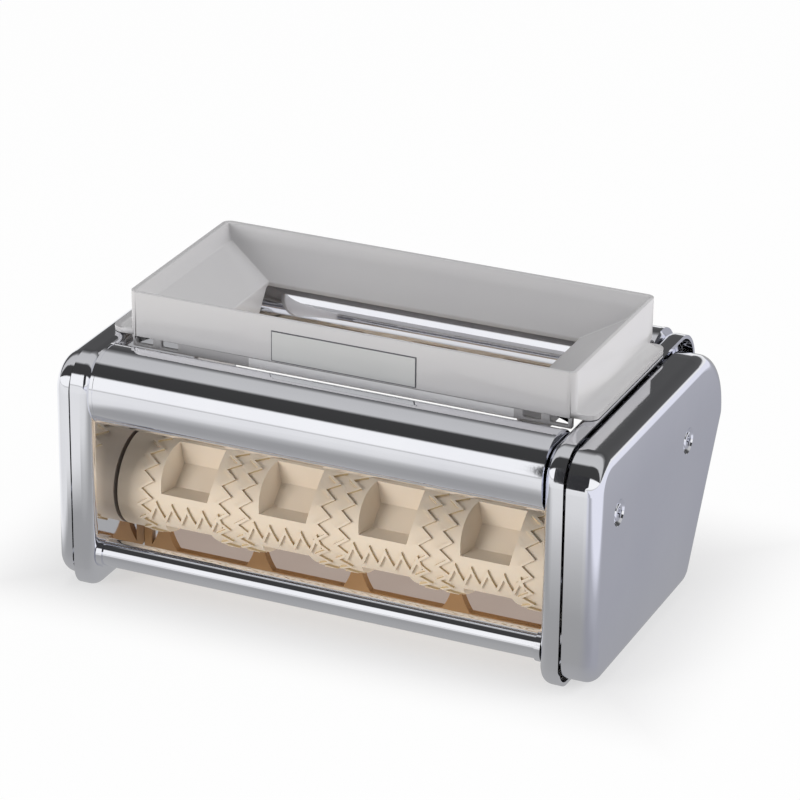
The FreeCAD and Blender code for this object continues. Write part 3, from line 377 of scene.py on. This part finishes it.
# One finish for each material slot of the record
FINISHES = {
    "chrome": chrome_finish(),
    "steel": steel_finish(),
    "bronze": bronze_finish(),
    "roller_plastic": moulded_finish(
        "ivory_plastic", light=linear(224, 209, 189), dark=linear(217, 201, 181),
        roughness=0.42, grain_depth=0.05 * MM, wave_share=0.3, detail=shade_ridge_flanks,
        Subsurface_Weight=0.12, Subsurface_Radius=(1.0, 0.7, 0.45), Subsurface_Scale=1.5 * MM),
    "hopper_plastic": moulded_finish(
        "hopper_plastic", light=linear(196, 195, 196), dark=linear(193, 192, 194),
        roughness=0.2, grain_depth=0.05 * MM, wave_share=1.0, detail=lighten_strip,
        Coat_Weight=0.3, Coat_Roughness=0.12),
    "label": moulded_finish(
        "label_plastic", light=linear(194, 195, 195), dark=linear(189, 190, 190),
        roughness=0.3, grain_depth=0.03 * MM, wave_share=0.5, detail=line_label_edge),
    # Painted shade: the comb is ivory plastic like the rollers, coloured orange-brown as it looks in shadow
    "comb_plastic": moulded_finish(
        "comb_plastic", light=linear(172, 132, 88), dark=linear(150, 112, 70),
        roughness=0.4, grain_depth=0.04 * MM, wave_share=0.4,
        Subsurface_Weight=0.1, Subsurface_Radius=(1.0, 0.6, 0.3), Subsurface_Scale=2.0 * MM),
    "gear_plastic": moulded_finish(
        "gear_plastic", light=linear(224, 222, 214), dark=linear(210, 208, 200),
        roughness=0.45, grain_depth=0.04 * MM, wave_share=0.3),
}


# Every piece of the frame gets the finish of its slot

slot_of = {}
for name, node in nodes.items():
    slot_of[name] = node.material_slots[0].material.name.split(".")[0]
for name, node in nodes.items():
    node.material_slots[0].material = FINISHES[slot_of[name]]


# Pieces that keep a node's shape and get the softened edges of a real moulding

# A node, the piece that stands for it, and the width and steps of its rounded edges
SOFTENED_PIECES = (
    ("hopper", "hopper_moulding", 0.5 * MM, 3),
    ("label_plate", "label_blank", 0.25 * MM, 3),
    ("left_mounting_rail", "left_guide_rail", 0.3 * MM, 2),
    ("right_mounting_rail", "right_guide_rail", 0.3 * MM, 2),
)
WELD_DISTANCE = 0.002 * MM
SLIVER_LENGTH = 0.01 * MM
FLAT_ANGLE = math.radians(0.3)
ROUNDED_ANGLE = math.radians(28.0)
SHADING_ANGLE = math.radians(40.0)
ROOM_FOR_ROUNDING = 2.4


def has_room(edge, width):
    """True where every edge at both ends is long enough for a rounding of this width."""
    shortest = ROOM_FOR_ROUNDING * width
    return all(other.calc_length() > shortest for vert in edge.verts for other in vert.link_edges)


def angle_edges(shape):
    """The edges between two faces, each with the angle it turns by."""
    return [(edge, edge.calc_face_angle()) for edge in shape.edges if edge.is_manifold]


def rounded_mesh(node, name, width, segments):
    """A welded copy of a node's mesh whose sharp edges are rounded by width."""
    shape = bmesh.new()
    shape.from_mesh(nodes[node].data)
    bmesh.ops.remove_doubles(shape, verts=shape.verts, dist=WELD_DISTANCE)
    bmesh.ops.dissolve_degenerate(shape, edges=shape.edges, dist=SLIVER_LENGTH)
    flat = [edge for edge, angle in angle_edges(shape) if angle < FLAT_ANGLE]
    bmesh.ops.dissolve_edges(shape, edges=flat, use_verts=False, use_face_split=False)
    sharp = [edge for edge, angle in angle_edges(shape) if angle > ROUNDED_ANGLE and has_room(edge, width)]
    bmesh.ops.bevel(shape, geom=sharp, offset=width, offset_type="OFFSET", segments=segments,
                    affect="EDGES", profile=0.5, material=-1, clamp_overlap=False, miter_outer="ARC")
    bmesh.ops.triangulate(shape, faces=[face for face in shape.faces if len(face.verts) > 4])
    mesh = bpy.data.meshes.new(name)
    shape.to_mesh(mesh)
    shape.free()
    return mesh


def shade_smooth(piece):
    """Smooth shading that breaks at the edges that stay sharp."""
    mesh = piece.data
    mesh.polygons.foreach_set("use_smooth", [True] * len(mesh.polygons))
    mesh.set_sharp_from_angle(angle=SHADING_ANGLE)
    shading = piece.modifiers.new("even shading", "WEIGHTED_NORMAL")
    shading.keep_sharp = True


def soften(node, name, width, segments):
    """Lets a copy with rounded edges stand for a node, on the node's body."""
    mesh = rounded_mesh(node, name, width, segments)
    mesh.materials.append(FINISHES[slot_of[node]])
    piece = bpy.data.objects.new(name, mesh)
    bpy.context.scene.collection.objects.link(piece)
    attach(piece, nodes[node]["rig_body"])
    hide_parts(node)
    shade_smooth(piece)


for node_name, piece_name, edge_width, edge_steps in SOFTENED_PIECES:
    soften(node_name, piece_name, edge_width, edge_steps)


# Studio: floor, background, lamps and a dark card

def bare_material(name):
    """A material without a shader, for the studio."""
    material = bpy.data.materials.new(name)
    material.use_nodes = True
    material.node_tree.nodes.clear()
    return material, material.node_tree


def finish_surface(tree, shader):
    """Makes a shader the surface of its material."""
    out = add(tree, "OutputMaterial")
    tree.links.new(shader.outputs[0], out.inputs["Surface"])


def stage_plane(name, corners, material):
    """A flat sheet of the studio, from its corners."""
    shape = bmesh.new()
    shape.faces.new([shape.verts.new(corner) for corner in corners])
    mesh = bpy.data.meshes.new(name)
    shape.to_mesh(mesh)
    shape.free()
    mesh.materials.append(material)
    sheet = bpy.data.objects.new(name, mesh)
    bpy.context.scene.collection.objects.link(sheet)
    return sheet


def seen_in_metal(tree, rays):
    """1 for the rays that shiny and clear surfaces send out."""
    return math_node(tree, "MAXIMUM", rays.outputs["Is Glossy Ray"], rays.outputs["Is Transmission Ray"])


# Grey levels of the floor as chrome shows it, with the object's shadow painted in as darker grey near it:
# along Y in front of the object and at its left, and along X at its right. Each area fades into the next
# one between two places.
FLOOR_SPAN = 1.2
FLOOR_FRONT = ((-0.55, 0.86), (-0.24, 0.80), (-0.195, 0.74), (-0.163, 0.54), (-0.145, 0.46),
               (-0.117, 0.36), (-0.07, 0.35))
FLOOR_RIGHT = ((-0.12, 0.42), (0.10, 0.40), (0.15, 0.43), (0.174, 0.50), (0.205, 0.92))
FLOOR_LEFT = ((-0.30, 0.85), (-0.08, 0.78), (-0.055, 0.86), (-0.02, 0.98))
FRONT_ENDS_Y = (-0.095, -0.055)
RIGHT_STARTS_X = (0.12, 0.16)
LEFT_STARTS_X = (-0.122, -0.150)
COOL_STARTS_X = (0.08, 0.13)
# Painted reflection: towards the right, the floor as chrome shows it is tinted cool
FLOOR_COOL_TONE = linear(243, 244, 255)


def floor_shade_in_metal(tree, spot):
    """The floor as chrome shows it, a glow with a painted shadow of the object: grey by the object, bright
    further out.
    """
    front = level_ramp(tree, spot[1], FLOOR_FRONT, -FLOOR_SPAN / 2, FLOOR_SPAN)
    right = level_ramp(tree, spot[0], FLOOR_RIGHT, -FLOOR_SPAN / 2, FLOOR_SPAN)
    left = level_ramp(tree, spot[1], FLOOR_LEFT, -FLOOR_SPAN / 2, FLOOR_SPAN)
    behind_front = smooth_step(tree, spot[1], *FRONT_ENDS_Y)
    beside = math_node(tree, "MAXIMUM", behind_front, smooth_step(tree, spot[0], *RIGHT_STARTS_X))
    level = mix_colours(tree, beside, front, right)
    level = mix_colours(tree, smooth_step(tree, spot[0], *LEFT_STARTS_X), level, left)
    cool = smooth_step(tree, spot[0], *COOL_STARTS_X)
    level = mix_colours(tree, cool, level, FLOOR_COOL_TONE, blend="MULTIPLY")
    glow = add(tree, "Emission", in_Strength=1.0)
    tree.links.new(level, glow.inputs["Color"])
    return glow


FLOOR_HALF = 4.0
FLOOR_Z = -0.2 * MM
FLOOR_TONE = linear(222, 221, 222)
FLOOR_BOUNCE_TONE = linear(250, 246, 240)
FLOOR_BOUNCE = 1.15
# The floor under the object: half its width, the middle and half of its depth, and where it ends
UNDER_HALF_WIDTH = 0.098
UNDER_MIDDLE_Y = 0.006
UNDER_HALF_DEPTH = 0.050
UNDER_EDGE = (-0.012, -0.001)
# Painted shade: the warm grey the floor glows with under the object, where its shadow falls
UNDER_SHADE_TONE = linear(170, 154, 145)
# How much of the camera's view of the floor is plain glow: under the object, at its edge, and
# outside its shadow, which reaches this far
UNDER_GLOW = 0.80
EDGE_GLOW = 0.55
OPEN_GLOW = 0.97
SHADE_REACH = 0.05


def floor_to_camera(tree, spot, rays, plain):
    """White outside the object's shadow, a glowing warm grey painted shade under the object, with the
    shadow between.
    """
    side_gap = math_node(tree, "SUBTRACT", math_node(tree, "ABSOLUTE", spot[0]), UNDER_HALF_WIDTH)
    depth = math_node(tree, "ABSOLUTE", math_node(tree, "SUBTRACT", spot[1], UNDER_MIDDLE_Y))
    gap = math_node(tree, "MAXIMUM", side_gap, math_node(tree, "SUBTRACT", depth, UNDER_HALF_DEPTH))
    outside = smooth_step(tree, gap, *UNDER_EDGE)
    white = add(tree, "Emission", in_Strength=1.0)
    tree.links.new(mix_colours(tree, outside, UNDER_SHADE_TONE, WHITE), white.inputs["Color"])
    lift = math_node(tree, "MULTIPLY_ADD", outside, EDGE_GLOW - UNDER_GLOW, UNDER_GLOW)
    away = smooth_step(tree, gap, 0.0, SHADE_REACH)
    lift = math_node(tree, "MULTIPLY_ADD", away, OPEN_GLOW - EDGE_GLOW, lift)
    lift = math_node(tree, "MULTIPLY", lift, rays.outputs["Is Camera Ray"])
    return mix_shaders(tree, lift, plain, white)


def floor_material():
    """Pale floor: white to the camera outside the object's shadow, painted warm grey shade under the
    object, and pale grey with a painted shadow in shiny surfaces.
    """
    material, tree = bare_material("pale_floor")
    rays = add(tree, "LightPath")
    spot = split_place(tree)
    matt = add(tree, "BsdfDiffuse", in_Color=FLOOR_TONE)
    bounce = add(tree, "Emission", in_Color=FLOOR_BOUNCE_TONE, in_Strength=FLOOR_BOUNCE)
    plain = mix_shaders(tree, rays.outputs["Is Diffuse Ray"], matt, bounce)
    shown = floor_to_camera(tree, spot, rays, plain)
    finish_surface(tree, mix_shaders(tree, seen_in_metal(tree, rays), shown, floor_shade_in_metal(tree, spot)))
    return material


# Grey levels of the studio round the object, by the turn about the X axis: 0 is the zenith, 90 the
# front and -90 the back, in degrees
TENT_LEVELS = ((-120, 0.5), (-92, 0.9), (-85, 0.9), (-80, 0.10), (-50, 0.07), (-40, 0.20), (-30, 0.55),
               (8, 0.58), (15, 0.05), (50, 0.045), (54, 1.0), (86, 1.0), (90, 0.55), (96, 0.8))
HALF_TURN = 180.0
AMBIENT_LEVEL = 0.38


def studio_world():
    """White to the camera, a dim tent in shiny surfaces, plain pale light on everything."""
    world = bpy.data.worlds.new("studio")
    bpy.context.scene.world = world
    world.use_nodes = True
    tree = world.node_tree
    tree.nodes.clear()
    rays = add(tree, "LightPath")
    ambient = add(tree, "Background", in_Color=WHITE, in_Strength=AMBIENT_LEVEL)
    white = add(tree, "Background", in_Color=WHITE, in_Strength=1.0)
    spot = split_place(tree, "Generated")
    turn = math_node(tree, "ARCTAN2", math_node(tree, "MULTIPLY", spot[1], -1.0), spot[2])
    degrees = math_node(tree, "MULTIPLY", turn, HALF_TURN / math.pi)
    tent = add(tree, "Background", in_Strength=1.0)
    tree.links.new(level_ramp(tree, degrees, TENT_LEVELS, -HALF_TURN, 2 * HALF_TURN), tent.inputs["Color"])
    lit = mix_shaders(tree, seen_in_metal(tree, rays), ambient, tent)
    out = add(tree, "OutputWorld")
    shown = mix_shaders(tree, rays.outputs["Is Camera Ray"], lit, white)
    tree.links.new(shown.outputs[0], out.inputs["Surface"])


# Each lamp's name, place, aim, size and power
LAMPS = (
    ("key_lamp", (-0.65, -1.0, 0.26), (0, 0, 0.04), 0.5, 9.0),
    ("side_lamp", (1.1, 0.30, 0.55), (0, 0, 0.08), 0.7, 10.5),
    ("top_lamp", (-0.1, 0.2, 1.3), (0, 0, 0.05), 0.8, 4.0),
)


def lamp(name, position, aim, size, power):
    """A soft square lamp that isn't seen in shiny surfaces."""
    data = bpy.data.lights.new(name, "AREA")
    data.shape = "SQUARE"
    data.size = size
    data.energy = power
    light = bpy.data.objects.new(name, data)
    bpy.context.scene.collection.objects.link(light)
    light.location = position
    light.rotation_mode = "QUATERNION"
    light.rotation_quaternion = (Vector(aim) - Vector(position)).to_track_quat("-Z", "Y")
    light.visible_glossy = False


# The card stands across the view in front of the object; its corners are (X, Z)
CARD_Y = -0.35
CARD_CORNERS = ((-0.018, 0.08), (-0.013, 0.035), (0.005, 0.03), (0.06, 0.10), (0.13, 0.13),
                (0.13, 0.33), (-0.047, 0.33))
CARD_TONE = linear(52, 52, 54)


def dark_card(name):
    """A dark card in front of the object that only shiny surfaces show."""
    material, tree = bare_material(name)
    finish_surface(tree, add(tree, "Emission", in_Color=CARD_TONE, in_Strength=1.0))
    card = stage_plane(name, [(x, CARD_Y, z) for x, z in CARD_CORNERS], material)
    card.visible_camera = False
    card.visible_diffuse = False
    card.visible_shadow = False


studio_world()
floor_corners = [(x * FLOOR_HALF, y * FLOOR_HALF, FLOOR_Z) for x, y in ((-1, -1), (1, -1), (1, 1), (-1, 1))]
stage_plane("floor", floor_corners, floor_material())
for settings in LAMPS:
    lamp(*settings)
dark_card("right_front_card")


# Camera at the photograph's place; the image is 800 by 800

IMAGE_SIZE = 800
FOCAL_LENGTH_PIXELS = 3861
SENSOR_WIDTH = 36.0
CAMERA_PLACE = Vector((508.05, -1133.2, 619.5)) * MM
CAMERA_YAW = math.radians(24.0)
CAMERA_PITCH = math.radians(24.0)
CAMERA_ROLL = math.radians(0.62)
NEAREST = 0.05
FARTHEST = 50.0


def make_camera():
    """Looks down and to the left at the object."""
    data = bpy.data.cameras.new("camera")
    data.sensor_width = SENSOR_WIDTH
    data.lens = FOCAL_LENGTH_PIXELS / IMAGE_SIZE * SENSOR_WIDTH
    data.clip_start = NEAREST
    data.clip_end = FARTHEST
    forward = Vector((-math.sin(CAMERA_YAW) * math.cos(CAMERA_PITCH),
                      math.cos(CAMERA_YAW) * math.cos(CAMERA_PITCH), -math.sin(CAMERA_PITCH)))
    level = Vector((math.cos(CAMERA_YAW), math.sin(CAMERA_YAW), 0))
    upward = level.cross(forward)
    right = level * math.cos(CAMERA_ROLL) + upward * math.sin(CAMERA_ROLL)
    top = upward * math.cos(CAMERA_ROLL) - level * math.sin(CAMERA_ROLL)
    camera = bpy.data.objects.new("camera", data)
    bpy.context.scene.collection.objects.link(camera)
    turn = Matrix((right, top, -forward)).transposed()
    camera.matrix_world = Matrix.Translation(CAMERA_PLACE) @ turn.to_4x4()
    bpy.context.scene.camera = camera


make_camera()
bpy.context.scene.view_settings.view_transform = "Standard"
